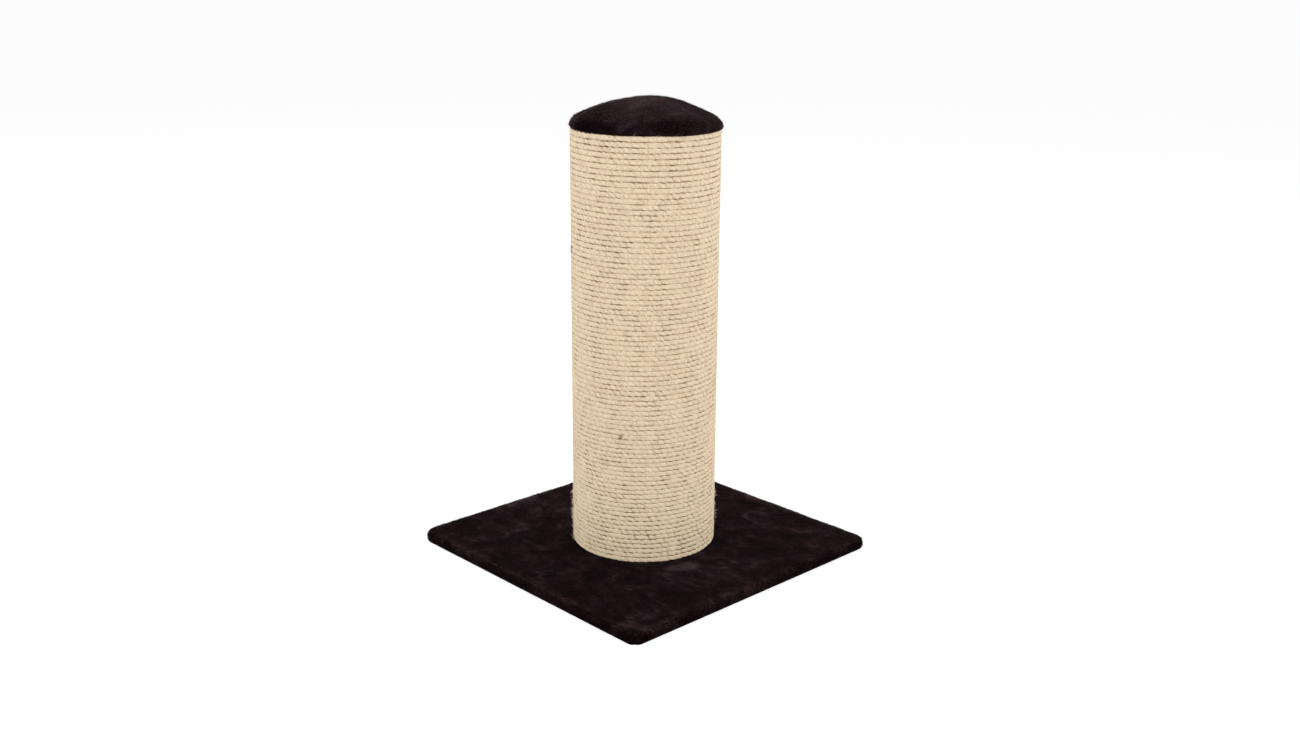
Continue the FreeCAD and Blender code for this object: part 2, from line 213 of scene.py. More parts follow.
def scatter(points, weights, count, *grids):
    """Random places on a grid closed round its columns: faces drawn by area times weight, and a place
    inside each by blending its corners. Returns the places, and each further grid blended in them."""
    right = np.roll(points, -1, 1)
    spans = np.linalg.norm(np.cross(right[:-1] - points[:-1], points[1:] - points[:-1]), axis=-1)
    chance = (spans * weights[:-1]).ravel()
    chosen = random.choice(chance.size, count, p=chance / chance.sum())
    row, column = np.divmod(chosen, points.shape[1])
    beside = (column + 1) % points.shape[1]
    across, down = random.random((2, count, 1))

    def blended(grid):
        upper = grid[row, column] * (1 - across) + grid[row, beside] * across
        lower = grid[row + 1, column] * (1 - across) + grid[row + 1, beside] * across
        return upper * (1 - down) + lower * down

    return [blended(grid) for grid in (points, *grids)]


def spikes(name, roots, directions, lengths, width, bend, segments, material, values=None):
    """Three-sided hairs: each follows root + direction s + bend s², s from 0 to its length over its
    length, and narrows evenly from its width at the root to a point. values holds named attributes of
    one number a hair."""
    count = len(roots)
    helper = np.where(np.abs(directions[:, 2:]) < 0.8, [[0, 0, 1.0]], [[1.0, 0, 0]])
    side = np.cross(directions, helper)
    side /= np.linalg.norm(side, axis=-1, keepdims=True)
    other = np.cross(directions, side)
    share = np.linspace(0, 1, segments + 1)[None, :, None]
    spine = (roots[:, None] + lengths[:, None, None] * (directions[:, None] * share
                                                        + bend[:, None] * share ** 2))
    rings = []
    for corner in range(3):
        turn = TURN * corner / 3
        offset = (side * math.cos(turn) + other * math.sin(turn))[:, None] * width / 2
        rings.append(spine[:, :-1] + offset * (1 - share[:, :-1]))
    rings = np.stack(rings, 2).reshape(count, segments * 3, 3)
    vertices = np.concatenate([rings, spine[:, -1:]], 1)
    size = segments * 3 + 1
    first = (np.arange(count) * size)[:, None, None]
    base = np.array([[0, 2, 1]])
    tip = np.array([[segments * 3 - 3 + c, segments * 3 - 3 + (c + 1) % 3, size - 1] for c in range(3)])
    groups = [(base + first).reshape(-1, 3), (tip + first).reshape(-1, 3)]
    if segments > 1:
        wall = tube_faces(segments, 3)
        groups.append((wall + first).reshape(-1, 4))
    values = {attribute: np.repeat(numbers, size) for attribute, numbers in (values or {}).items()}
    return make_piece(name, vertices.reshape(-1, 3), groups, material, values=values)


# ---------------------------------------------------------------- materials


def add(tree, kind, inputs=None, **settings):
    """A shader node with its settings, and its inputs set to values or linked to outputs."""
    node = tree.nodes.new(kind)
    for name, value in settings.items():
        setattr(node, name, value)
    for name, value in (inputs or {}).items():
        if isinstance(value, bpy.types.NodeSocket):
            tree.links.new(value, node.inputs[name])
        else:
            node.inputs[name].default_value = value
    return node


def maths(tree, operation, first, second=0.0):
    """Output of a Math node."""
    return add(tree, "ShaderNodeMath", {0: first, 1: second}, operation=operation).outputs[0]


def ramp(tree, factor, *stops):
    """Output of a Color Ramp through (place, colour) stops."""
    node = add(tree, "ShaderNodeValToRGB", {"Fac": factor})
    elements = node.color_ramp.elements
    while len(elements) < len(stops):
        elements.new(0.5)
    for element, (place, colour) in zip(elements, stops):
        element.position = place
        element.color = (*colour, 1)
    return node.outputs["Color"]


def grain(tree, vector, scale, detail=4.0, roughness=0.55, distortion=0.0):
    """Output of a Noise Texture."""
    values = {"Vector": vector, "Scale": scale, "Detail": detail, "Roughness": roughness,
              "Distortion": distortion}
    return add(tree, "ShaderNodeTexNoise", values).outputs["Fac"]


def blend(tree, factor, first, second, mode="MIX"):
    """Output of a colour Mix node."""
    node = add(tree, "ShaderNodeMix", data_type="RGBA", blend_type=mode)
    for socket, value in ((node.inputs[0], factor), (node.inputs[6], first), (node.inputs[7], second)):
        if isinstance(value, bpy.types.NodeSocket):
            tree.links.new(value, socket)
        elif isinstance(value, tuple):
            socket.default_value = (*value, 1)
        else:
            socket.default_value = value
    return node.outputs[2]


def start_material(name, **sockets):
    """New material: its tree, its Principled shader with constants set on it, and Object coordinates."""
    material = bpy.data.materials.new(name)
    material.use_nodes = True
    tree = material.node_tree
    shader = tree.nodes["Principled BSDF"]
    for socket, value in sockets.items():
        shader.inputs[socket.replace("_", " ")].default_value = value
    place = add(tree, "ShaderNodeTexCoord").outputs["Object"]
    return material, tree, shader, place


def finish_material(tree, shader, colour, height, depth, roughness=None):
    """Links colour, bump of that depth in metres, and roughness into the shader."""
    tree.links.new(colour, shader.inputs["Base Color"])
    bump = add(tree, "ShaderNodeBump", {"Strength": 1.0, "Distance": depth, "Height": height})
    tree.links.new(bump.outputs["Normal"], shader.inputs["Normal"])
    if roughness is not None:
        tree.links.new(roughness, shader.inputs["Roughness"])


def rope_material():
    """Sisal: pale straw fibres along three twisted strands. Painted shade darkens and browns it deep between
    the turns and in the grooves between the strands. Noise breaks the dark line between the turns up into
    dashes, and the line is stronger towards the bottom."""
    material, tree, shader, place = start_material("sisal", Roughness=0.85, Sheen_Weight=0.15,
                                                   Specular_IOR_Level=0.15)
    uv = add(tree, "ShaderNodeSeparateXYZ",
             {"Vector": add(tree, "ShaderNodeUVMap", uv_map="surface").outputs["UV"]})
    along, strand_place = uv.outputs["X"], uv.outputs["Y"]
    wave = maths(tree, "COSINE", maths(tree, "MULTIPLY", strand_place, TURN * STRANDS / 2))
    strand = maths(tree, "ABSOLUTE", wave)
    fibre_place = add(tree, "ShaderNodeCombineXYZ",
                      {"X": maths(tree, "MULTIPLY", along, 110.0),
                       "Y": maths(tree, "MULTIPLY", maths(tree, "MODULO", strand_place, 16.0), 30.0)})
    fibres = grain(tree, fibre_place.outputs[0], 1.0, detail=5.0, roughness=0.75)
    straw = ramp(tree, fibres, (0.32, (0.51, 0.385, 0.25)), (0.44, (0.715, 0.58, 0.415)),
                 (0.57, (0.805, 0.675, 0.50)), (0.72, (0.95, 0.86, 0.71)))
    blotches = grain(tree, place, 110.0, detail=4.0, roughness=0.7)
    tinted = blend(tree, 1.0, straw, ramp(tree, blotches, (0.34, (0.92, 0.87, 0.84)), (0.5, (1.0, 1.0, 1.0)),
                                          (0.66, (1.0, 1.0, 0.94))), "MULTIPLY")
    specks = grain(tree, place, 560.0, detail=2.0, roughness=0.6)
    speckled = ramp(tree, specks, (0.36, (0.80, 0.77, 0.72)), (0.48, (0.97, 0.96, 0.95)),
                    (0.60, (1.0, 1.0, 1.0)))
    mottled = blend(tree, 1.0, tinted, speckled, "MULTIPLY")
    height_share = maths(tree, "DIVIDE", add(tree, "ShaderNodeSeparateXYZ", {"Vector": place}).outputs["Z"],
                         LOWER_JOIN)
    # Greater towards the bottom: it makes the rope paler there and strengthens the painted shade between the
    # turns.
    low_down = ramp(tree, height_share, (0.2, (0.5,) * 3), (1.0, (0.0,) * 3))
    paler = blend(tree, maths(tree, "MULTIPLY", low_down, 0.6), mottled, (0.93, 0.79, 0.56))
    depth = add(tree, "ShaderNodeAttribute", attribute_name="depth").outputs["Fac"]
    # Painted shade: browner where the skin lies deeper under the rope's outermost reach.
    deep_shade_tint = blend(tree, 1.0, paler, ramp(tree, depth, (0.06, (1.0, 1.0, 1.0)), (0.20, (0.98, 0.91, 0.78))),
                   "MULTIPLY")
    # Painted shade in the grooves between the strands.
    strand_groove_shade = blend(tree, ramp(tree, strand, (0.0, (0.16,) * 3), (0.4, (0.0,) * 3)), deep_shade_tint,
                    (0.52, 0.38, 0.23))
    # Painted shade between the turns: dashes from noise, patchy, stronger towards the bottom, weaker where
    # the strands meet.
    dash_place = add(tree, "ShaderNodeCombineXYZ", {"X": maths(tree, "MULTIPLY", along, 85.0)})
    dashed_shade_mask = ramp(tree, grain(tree, dash_place.outputs[0], 1.0, detail=3.0), (0.44, (0.0,) * 3),
                   (0.53, (1.0,) * 3))
    patchy_shade_more_low = blend(tree, 1.0, ramp(tree, grain(tree, place, 32.0, detail=2.0), (0.42, (0.35,) * 3),
                                   (0.58, (1.0,) * 3)), low_down, "ADD")
    met = ramp(tree, strand, (0.55, (1.0,) * 3), (0.95, (0.45,) * 3))
    gap = blend(tree, 1.0, blend(tree, 1.0, dashed_shade_mask, patchy_shade_more_low, "MULTIPLY"), met, "MULTIPLY")
    groove_shade = blend(tree, 1.0, ramp(tree, depth, (0.06, (0.0,) * 3), (0.18, (1.0,) * 3)), gap, "MULTIPLY")
    # Dark brown of the painted shade, laid on where the skin lies deep between the turns.
    colour = blend(tree, groove_shade, strand_groove_shade, (0.18, 0.085, 0.030))
    height = maths(tree, "ADD", maths(tree, "MULTIPLY", strand, 0.5), maths(tree, "MULTIPLY", fibres, 0.7))
    finish_material(tree, shader, colour, height, 0.5 * MM)
    return material


def hair_material():
    """Loose sisal fibres, paler than the rope."""
    material, tree, shader, place = start_material("sisal_fibre", Roughness=0.7, Specular_IOR_Level=0.3)
    tone = grain(tree, place, 300.0, detail=1.0)
    colour = ramp(tree, tone, (0.3, (0.66, 0.50, 0.33)), (0.7, (0.90, 0.80, 0.64)))
    finish_material(tree, shader, colour, tone, 0.05 * MM)
    return material


def plush_material(name, pile_depth, sheen, opening=0.0, wisp_scale=60.0):
    """Near-black brown plush: nap brushed into lighter mauve-brown smudges and wisps, with a soft sheen. The
    "bend" attribute lightens the nap further: spots rubbed open, broad spots of painted sheen, and a painted
    highlight along the base's top edge."""
    material, tree, shader, place = start_material(name, Roughness=0.95, Specular_IOR_Level=0.02,
                                                   Sheen_Weight=sheen, Sheen_Roughness=0.28,
                                                   Sheen_Tint=(0.90, 0.62, 0.66, 1))
    pile = grain(tree, place, 900.0, detail=3.0)
    brushed = grain(tree, place, 25.0, detail=6.0, roughness=0.7, distortion=0.9)
    streak_place = add(tree, "ShaderNodeMapping", {"Vector": place, "Scale": (1.0, 1.7, 1.0),
                                                   "Rotation": (0.0, 0.0, math.radians(35))})
    streaks = grain(tree, streak_place.outputs[0], wisp_scale, detail=5.0, roughness=0.7, distortion=1.0)
    nap = maths(tree, "ADD", maths(tree, "MULTIPLY", brushed, 0.62), maths(tree, "MULTIPLY", streaks, 0.38))
    # How far the nap is lightened: rubbed open, broad painted sheen, and a painted highlight along the base's
    # top edge.
    rubbed_and_lit_nap = add(tree, "ShaderNodeAttribute", attribute_name="bend").outputs["Fac"]
    lightened_nap = maths(tree, "ADD", maths(tree, "ADD", nap, opening), maths(tree, "MULTIPLY", rubbed_and_lit_nap, 0.10))
    tone = ramp(tree, lightened_nap, (0.40, (0.0028, 0.0009, 0.0014)), (0.49, (0.0058, 0.0022, 0.0031)),
                (0.57, (0.0150, 0.0078, 0.0092)), (0.67, (0.046, 0.029, 0.031)))
    hue = ramp(tree, grain(tree, place, 26.0, detail=3.0), (0.38, (1.0, 0.87, 0.80)),
               (0.50, (0.95, 0.90, 0.90)), (0.62, (0.88, 0.88, 1.0)))
    tinted = blend(tree, 1.0, tone, hue, "MULTIPLY")
    colour = blend(tree, 1.0, tinted, ramp(tree, pile, (0.3, (0.72,) * 3), (0.7, (1.0,) * 3)), "MULTIPLY")
    height = maths(tree, "ADD", maths(tree, "MULTIPLY", pile, 0.5), streaks)
    finish_material(tree, shader, colour, height, pile_depth)
    return material


def fibreboard_material():
    """Raw fibreboard: even brown with fine pale and dark fibres and faint sanding marks."""
    material, tree, shader, place = start_material("fibreboard", Roughness=0.8, Specular_IOR_Level=0.2)
    flecks = grain(tree, place, 650.0, detail=4.0, roughness=0.7)
    clouds = grain(tree, place, 22.0, detail=3.0)
    stretched = add(tree, "ShaderNodeMapping", {"Vector": place, "Scale": (1.0, 30.0, 1.0)})
    sanding = grain(tree, stretched.outputs[0], 25.0, detail=2.0)
    flecked = ramp(tree, flecks, (0.30, (0.24, 0.14, 0.075)), (0.5, (0.40, 0.255, 0.14)),
                   (0.72, (0.50, 0.34, 0.20)))
    shade = ramp(tree, clouds, (0.3, (0.86,) * 3), (0.7, (1.0,) * 3))
    colour = blend(tree, 1.0, flecked, shade, "MULTIPLY")
    height = maths(tree, "ADD", flecks, maths(tree, "MULTIPLY", sanding, 0.6))
    finish_material(tree, shader, colour, height, 0.08 * MM)
    return material


def plug_material():
    """Sawn softwood board: growth rings as stretched bands with fine pores."""
    material, tree, shader, place = start_material("sawn_wood", Roughness=0.75, Specular_IOR_Level=0.25)
    stretched = add(tree, "ShaderNodeMapping", {"Vector": place, "Scale": (1.0, 9.0, 3.0)})
    bands = grain(tree, stretched.outputs[0], 18.0, detail=5.0, distortion=1.2)
    pores = grain(tree, stretched.outputs[0], 220.0, detail=2.0)
    colour = ramp(tree, bands, (0.35, (0.36, 0.21, 0.10)), (0.5, (0.55, 0.36, 0.19)),
                  (0.65, (0.64, 0.45, 0.26)))
    finish_material(tree, shader, colour, maths(tree, "ADD", bands, pores), 0.15 * MM)
    return material


def card_material():
    """Wound kraft card: brown with a slanting seam between the plies and short fibres."""
    material, tree, shader, place = start_material("kraft_card", Roughness=0.8, Specular_IOR_Level=0.2)
    fibres = grain(tree, place, 420.0, detail=4.0)
    xyz = add(tree, "ShaderNodeSeparateXYZ", {"Vector": place})
    turn = maths(tree, "DIVIDE", maths(tree, "ARCTAN2", xyz.outputs["Y"], xyz.outputs["X"]), TURN)
    plies = maths(tree, "FRACT", maths(tree, "ADD", turn, maths(tree, "DIVIDE", xyz.outputs["Z"], 90 * MM)))
    seam = ramp(tree, plies, (0.0, (0.6,) * 3), (0.012, (1.0,) * 3), (1.0, (1.0,) * 3))
    brown = ramp(tree, fibres, (0.3, (0.30, 0.19, 0.10)), (0.7, (0.47, 0.32, 0.19)))
    finish_material(tree, shader, blend(tree, 1.0, brown, seam, "MULTIPLY"), fibres, 0.1 * MM)
    return material


def foam_material():
    """Open-cell foam: cream with small round cells."""
    material, tree, shader, place = start_material("foam", Roughness=0.95, Specular_IOR_Level=0.1)
    cells = add(tree, "ShaderNodeTexVoronoi", {"Vector": place, "Scale": 700.0}).outputs["Distance"]
    colour = ramp(tree, cells, (0.0, (0.62, 0.54, 0.36)), (0.6, (0.80, 0.74, 0.56)))
    finish_material(tree, shader, colour, cells, 0.4 * MM)
    return material


def steel_material():
    """Zinc-plated steel: satin grey with faint cloudy plating and fine scratches."""
    material, tree, shader, place = start_material("zinc_steel", Metallic=1.0)
    clouds = grain(tree, place, 160.0, detail=4.0)
    stretched = add(tree, "ShaderNodeMapping", {"Vector": place, "Scale": (1.0, 14.0, 1.0)})
    scratches = grain(tree, stretched.outputs[0], 300.0, detail=2.0)
    colour = ramp(tree, clouds, (0.3, (0.42, 0.42, 0.44)), (0.7, (0.62, 0.63, 0.64)))
    roughness = maths(tree, "ADD", maths(tree, "MULTIPLY", clouds, 0.25), 0.24)
    finish_material(tree, shader, colour, scratches, 0.02 * MM, roughness)
    return material


sisal = rope_material()
sisal_fibre = hair_material()
base_plush = plush_material("plush_base", 0.5 * MM, 0.045)
base_pile_plush = plush_material("plush_base_pile", 0.1 * MM, 0.035, opening=0.01, wisp_scale=170.0)
fuzz_plush = plush_material("plush_fuzz", 0.1 * MM, 0.20, opening=0.02, wisp_scale=170.0)
cap_plush = plush_material("plush_cap", 0.5 * MM, 0.17, opening=0.02)
cap_pile_plush = plush_material("plush_cap_pile", 0.1 * MM, 0.15, opening=0.02, wisp_scale=110.0)
foam = foam_material()
steel = steel_material()

node_finishes = {
    fibreboard_material(): ("base_board", "cap_board"),
    plug_material(): ("bottom_plug", "top_plug"),
    card_material(): ("post_tube",),
    foam: ("cap_foam",),
    steel: ("base_hem_staples", "base_bolts", "bottom_tee_nuts", "bottom_plug_brads", "top_plug_brads",
            "top_tee_nut", "rope_end_staples", "cap_bolt", "cap_hem_staples"),
}
for finish, names in node_finishes.items():
    for name in names:
        node_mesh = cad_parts[name].data
        node_mesh.materials.clear()
        node_mesh.materials.append(finish)

# ---------------------------------------------------------------- rope


def winding_height(turns):
    """Height of the rope's middle after a number of turns from its foot: straight between the foot, the
    joins and the head, but the first and last turns lie level and step up over a short arc, and this
    fades out over FLAT_TURNS turns. Each turn also leans a little."""
    knots = [0, LOWER_JOIN_TURN, UPPER_JOIN_TURN, HEAD_TURN]
    heights = [ROPE_FOOT + ROPE_RADIUS, LOWER_JOIN, UPPER_JOIN, ROPE_HEAD - ROPE_RADIUS]
    height = np.interp(turns, knots, heights)
    pitch = winding_pitch(turns)
    for from_end, way in ((turns, 1), (HEAD_TURN - turns, -1)):
        whole = np.floor(from_end)
        part = from_end - whole
        level = np.clip(1 - whole / FLAT_TURNS, 0, 1)
        stepped = smooth((part - (1 - STEP_SHARE)) / STEP_SHARE)
        height = height + way * pitch * level * (stepped - part)
    from_front = math.radians(FOOT_ANGLE - FRONT_AZIMUTH + 90) + TURN * turns
    return height + np.interp(height, LEAN_HEIGHTS, LEANS) * np.sin(from_front)


def winding_pitch(turns):
    """Height of one turn, which is even between two joins."""
    lower = (LOWER_JOIN - ROPE_FOOT - ROPE_RADIUS) / LOWER_JOIN_TURN
    middle = (UPPER_JOIN - LOWER_JOIN) / (UPPER_JOIN_TURN - LOWER_JOIN_TURN)
    upper = (ROPE_HEAD - ROPE_RADIUS - UPPER_JOIN) / (HEAD_TURN - UPPER_JOIN_TURN)
    return np.where(turns < LOWER_JOIN_TURN, lower, np.where(turns < UPPER_JOIN_TURN, middle, upper))


def rope_middle(turns):
    """Angle in radians, radius, height and half height of the rope. Between its ends half the pitch, a
    little pressed, is its half height. Each end runs on past its last turn as a tail, thinned to fill the
    wedge that the next turn leaves as it steps up. The rope wanders a little, bulges where it was stapled
    at the upper join, and lies slightly apart from the turn below after each join."""
    distance = turns * TURN_LENGTH
    angle = math.radians(FOOT_ANGLE) + TURN * turns
    half_pitch = winding_pitch(turns) / 2
    over_foot = winding_height(np.clip(turns + 1, 0, HEAD_TURN)) - half_pitch
    under_head = winding_height(np.clip(turns - 1, 0, HEAD_TURN)) + half_pitch
    tail = (turns < 0) | (turns > HEAD_TURN)
    lowest = np.where(turns < 0, ROPE_FOOT, under_head)
    highest = np.where(turns < 0, over_foot, ROPE_HEAD)
    half = np.where(tail, np.maximum(highest - lowest, 0.4 * MM) / 2, half_pitch * PRESS)
    radius = ROPE_CENTRE_RADIUS + 0.10 * MM * line_noise(distance, 34 * MM)
    radius = radius + BULGE * np.exp(-((turns - UPPER_JOIN_TURN) * TURN_LENGTH / BULGE_REACH) ** 2)
    wander = 0.20 * MM * line_noise(distance, 17 * MM, 0.5)
    for join, reach in ((LOWER_JOIN_TURN, 0.12), (UPPER_JOIN_TURN, 0.35)):
        after = turns - join
        wander = wander + 0.35 * MM * np.where(after > 0, smooth(after / 0.01) * smooth(1 - after / reach), 0)
    ends = smooth(turns) * smooth(HEAD_TURN - turns)
    height = np.where(tail, (highest + lowest) / 2, winding_height(turns) + wander * ends)
    return angle, radius, height, half


def strand_angle(turns, around):
    """Angle in radians of a place round the section, counted from a strand: the strands turn right-handed,
    once a lay, a little unevenly."""
    distance = turns * TURN_LENGTH
    return around + TURN * distance / LAY - 1.6 * line_noise(distance, 70 * MM, 0.8)


def rope_surface(turns, around, shrink=1.0):
    """Points of the rope's skin at angles round its section, and how deep each lies under its outermost
    reach, from 0 to 1. The section is a superellipse, cos and sin each raised to SQUARENESS, with one
    shallow lobe a strand: 1 - depth (1 - |cos(strands/2 strand_angle)|)."""
    angle, radius, height, half = rope_middle(turns)
    distance = turns * TURN_LENGTH
    lobes = 1 - STRAND_DEPTH * (1 - np.abs(np.cos(STRANDS / 2 * strand_angle(turns, around))))
    tall = 1 + 0.18 * line_noise(distance, 8 * MM, 0.3)
    thick = 1 + 0.04 * line_noise(distance, 13 * MM, 0.6)
    thinned = np.sqrt(np.minimum(half / (2.3 * MM), 1))
    reach = ROPE_RADIUS * lobes * thick * shrink * thinned
    rise = half * lobes * tall * shrink
    outward = np.sign(np.cos(around)) * np.abs(np.cos(around)) ** SQUARENESS
    upward = np.sign(np.sin(around)) * np.abs(np.sin(around)) ** SQUARENESS
    far = np.maximum(radius - ROPE_RADIUS * (1 - thinned) + reach * outward, TUBE_RADIUS)
    level = np.clip(height + rise * upward, ROPE_FOOT, ROPE_HEAD)
    points = np.stack([far * np.cos(angle), far * np.sin(angle), level], -1)
    return points, np.clip((radius + ROPE_RADIUS - far) / ROPE_RADIUS, 0, 1)


def rope_length(name, node, first_turn, last_turn):
    """One wound length: a tube along the winding with rounded, closed ends. UV is the distance along it in
    metres and the place round its strands in turns."""
    rows = round((last_turn - first_turn) * SAMPLES_PER_TURN) + 1
    turns = np.linspace(first_turn, last_turn, rows)
    columns = len(SECTION)
    strand_turns = strand_angle(turns[:, None], np.append(SECTION, TURN)[None, :]) / TURN
    from_end = np.minimum(turns - first_turn, last_turn - turns) * TURN_LENGTH
    rounded = np.sqrt(1 - (1 - np.clip(from_end / (2.2 * MM), 0, 1)) ** 2)
    shrink = (0.45 + 0.55 * rounded)[:, None]
    points, depth = rope_surface(turns[:, None], SECTION[None, :], shrink)
    vertices = np.concatenate([points.reshape(-1, 3), points[[0, -1]].mean(1)])
    depth = np.append(depth.ravel(), [0.5, 0.5])
    walls = tube_faces(rows, columns)
    ends = fans(rows, columns, rows * columns, rows * columns + 1)
    column = np.tile(np.arange(columns), rows - 1)
    row = np.repeat(np.arange(rows - 1), columns)
    distance = turns * TURN_LENGTH
    wall_uv = np.stack([np.stack([distance[row + down], strand_turns[row + down, column + across]], -1)
                        for down, across in ((1, 0), (1, 1), (0, 1), (0, 0))], 1)
    end_uv = np.tile([[distance[0], 0.2]], (3 * len(ends), 1))
    uv = np.concatenate([wall_uv.reshape(-1, 2), end_uv])
    piece = make_piece(name, vertices, [walls[:, ::-1], ends[:, ::-1]], sisal, uv, {"depth": depth})
    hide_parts(node)
    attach(piece, "root")


half_gap = JOIN_GAP / 2 / TURN_LENGTH
rope_length("wound_rope_lower", "rope_lower_length", -STEP_SHARE, LOWER_JOIN_TURN - half_gap)
rope_length("wound_rope_middle", "rope_middle_length", LOWER_JOIN_TURN + half_gap, UPPER_JOIN_TURN - half_gap)
rope_length("wound_rope_upper", "rope_upper_length", UPPER_JOIN_TURN + half_gap, HEAD_TURN + STEP_SHARE)


def loose_fibres(name, turns, lengths, lift, width=FIBRE_WIDTH):
    """Stray fibres that leave the rope's back, mostly along it, and curl back towards it. lift is how
    steeply they leave it."""
    count = len(turns)
    around = random.uniform(-1.1, 1.1, count)
    roots = rope_surface(turns, around, 0.97)[0]
    angle = math.radians(FOOT_ANGLE) + TURN * turns
    outward = np.stack([np.cos(angle), np.sin(angle), 0 * angle], -1)
    forward = np.stack([-np.sin(angle), np.cos(angle), 0 * angle], -1)
    upward = np.array([[0, 0, 1.0]])
    way = random.choice([-1, 1], count)[:, None]
    direction = (outward * random.uniform(0.3, 1.0, (count, 1)) * lift + forward * way
                 + upward * random.uniform(-1.1, 1.1, (count, 1)))
    direction /= np.linalg.norm(direction, axis=-1, keepdims=True)
    bend = (outward * random.uniform(-0.5, 0.0, (count, 1)) * lift
            + upward * random.uniform(-0.5, 0.4, (count, 1))
            + forward * random.uniform(-0.3, 0.3, (count, 1)))
    piece = spikes(name, roots, direction, lengths, width, bend, 4, sisal_fibre)
    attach(piece, "root")


def fibre_batch(count, first_turn, last_turn, shortest, longest):
    """Random places along the rope and lengths for a batch of loose fibres."""
    return random.uniform(first_turn, last_turn, count), random.uniform(shortest, longest, count)


loose_fibres("rope_fibres", *fibre_batch(5600, 0.05, HEAD_TURN - 0.05, 2 * MM, 6 * MM), 0.25)
loose_fibres("stray_fibres", *fibre_batch(260, 0.05, HEAD_TURN - 0.05, 3 * MM, 8 * MM), 0.9)
loose_fibres("frayed_foot_end", *fibre_batch(46, -0.04, 0.03, 3 * MM, 9 * MM), 1.1)
loose_fibres("frayed_lower_join", *fibre_batch(30, LOWER_JOIN_TURN - 0.006, LOWER_JOIN_TURN + 0.006,
                                               2 * MM, 4 * MM), 0.5)
loose_fibres("frayed_upper_join", *fibre_batch(40, UPPER_JOIN_TURN - 0.008, UPPER_JOIN_TURN + 0.008,
                                               2 * MM, 6 * MM), 0.9)

# Tufts rubbed up near the foot, at the left and fewer at the right as seen from the front
for side, side_turn, count in (("left", -11 / 360, 150), ("right", 168 / 360, 50)):
    rubbed_turns = random.integers(2, 11, count) + side_turn + random.normal(0, 7, count) / 360
    rubbed_lengths = random.uniform(3 * MM, 7 * MM, count)
    loose_fibres(f"rubbed_fibres_{side}", rubbed_turns, rubbed_lengths, 2.2, TUFT_WIDTH)

# Fibres that stand up over the cap's foot
loose_fibres("head_fibres", *fibre_batch(200, HEAD_TURN - 1.0, HEAD_TURN, 3 * MM, 6 * MM), 1.0, 0.45 * MM)

# ---------------------------------------------------------------- plush covers


def rounded_square(half, radii):
    """Points of a square outline with quarter-round corners, turning left: each quarter is a corner's arc
    and the straight side after it. The first corner is between +X and +Y."""
    arc = np.radians(np.linspace(0, 90, CORNER_STEPS + 1))[:-1]
    straight = np.linspace(0, 1, STRAIGHT_STEPS + 1)[:-1]
    points = []
    for quarter, radius in enumerate(radii):
        centre = half - radius
        arc_points = np.stack([centre + radius * np.cos(arc), centre + radius * np.sin(arc)], -1)
        start = np.array([centre, half])
        end = np.array([radii[(quarter + 1) % 4] - half, half])
        side_points = start + (end - start) * straight[:, None]
        turn = quarter * TURN / 4
        quarter_turn = np.array([[math.cos(turn), math.sin(turn)], [-math.sin(turn), math.cos(turn)]])
        points.append(np.concatenate([arc_points, side_points]) @ quarter_turn)
    return np.concatenate(points)


def outline_at(inset):
    """The base's outline set in: square to its edge for the first stretch, then shrunk to the centre."""
    square_on = min(inset, TOP_EDGE_RADIUS)
    ring = rounded_square(BASE_HALF - square_on, CORNER_RADII - square_on)
    return ring * (BASE_HALF - inset) / (BASE_HALF - square_on)


def base_profile():
    """Section of the base cover from the middle of its top, out, round the edge, under to the hem and back
    inside to the middle, as (inset, height, how much the plush may swell)."""
    top, foot = BASE_TOP, 0.0
    rows = [(inset * MM, top, 0.0) for inset in (172, 165, 155, 145, 135, 125)]
    rows += [(inset * MM, top, 1.0) for inset in np.arange(119, 5, -2.4)]
    for angle in np.radians(np.linspace(90, 0, 7)):
        rows.append((TOP_EDGE_RADIUS * (1 - math.cos(angle)),
                     top - TOP_EDGE_RADIUS * (1 - math.sin(angle)), 1.0))
    rows += [(0.0, (top + foot) / 2 - 1 * MM, 1.0), (0.0, (top + foot) / 2 - 3 * MM, 0.8)]
    for angle in np.radians(np.linspace(0, -90, 6)):
        rows.append((FOOT_EDGE_RADIUS * (1 - math.cos(angle)),
                     foot + FOOT_EDGE_RADIUS * (1 + math.sin(angle)), 0.5))
    rows += [(inset * MM, foot, 0.3) for inset in np.arange(5, 34.5, 2.4)]
    rows += [(HEM - 0.4 * MM, foot + 0.1 * MM, 0.2), (HEM, foot + SKIN / 2, 0.0),
             (HEM - 0.3 * MM, foot + SKIN, 0.0), (HEM / 2, foot + SKIN, 0.0),
             (SKIN + 0.5 * MM, foot + SKIN, 0.0), (SKIN, foot + SKIN + 0.5 * MM, 0.0),
             (SKIN, top - SKIN - 0.5 * MM, 0.0), (SKIN + 0.5 * MM, top - SKIN, 0.0)]
    rows += [(inset * MM, top - SKIN, 0.0) for inset in (60, 120, 172)]
    return np.array(rows)


def plush_swell(points):
    """Uneven plush: broad soft waves, finer lumps and tufts."""
    return (0.22 * MM * noise(points, 31 * MM) + 0.22 * MM * noise(points, 9 * MM, 0.4)
            + 0.16 * MM * noise(points, 3.4 * MM, 0.7))


def rubbed_and_lit_spots(points, spots):
    """How far the nap is lightened, rubbed open or as painted sheen: each spot's strength times
    exp(-(distance / reach)²), added up.
    """
    lightened_nap = np.zeros(points.shape[:-1])
    for x, y, reach, strength in spots:
        away = np.linalg.norm(points[..., :2] / MM - [x, y], axis=-1)
        lightened_nap += strength * np.exp(-(away / reach) ** 2)
    return lightened_nap


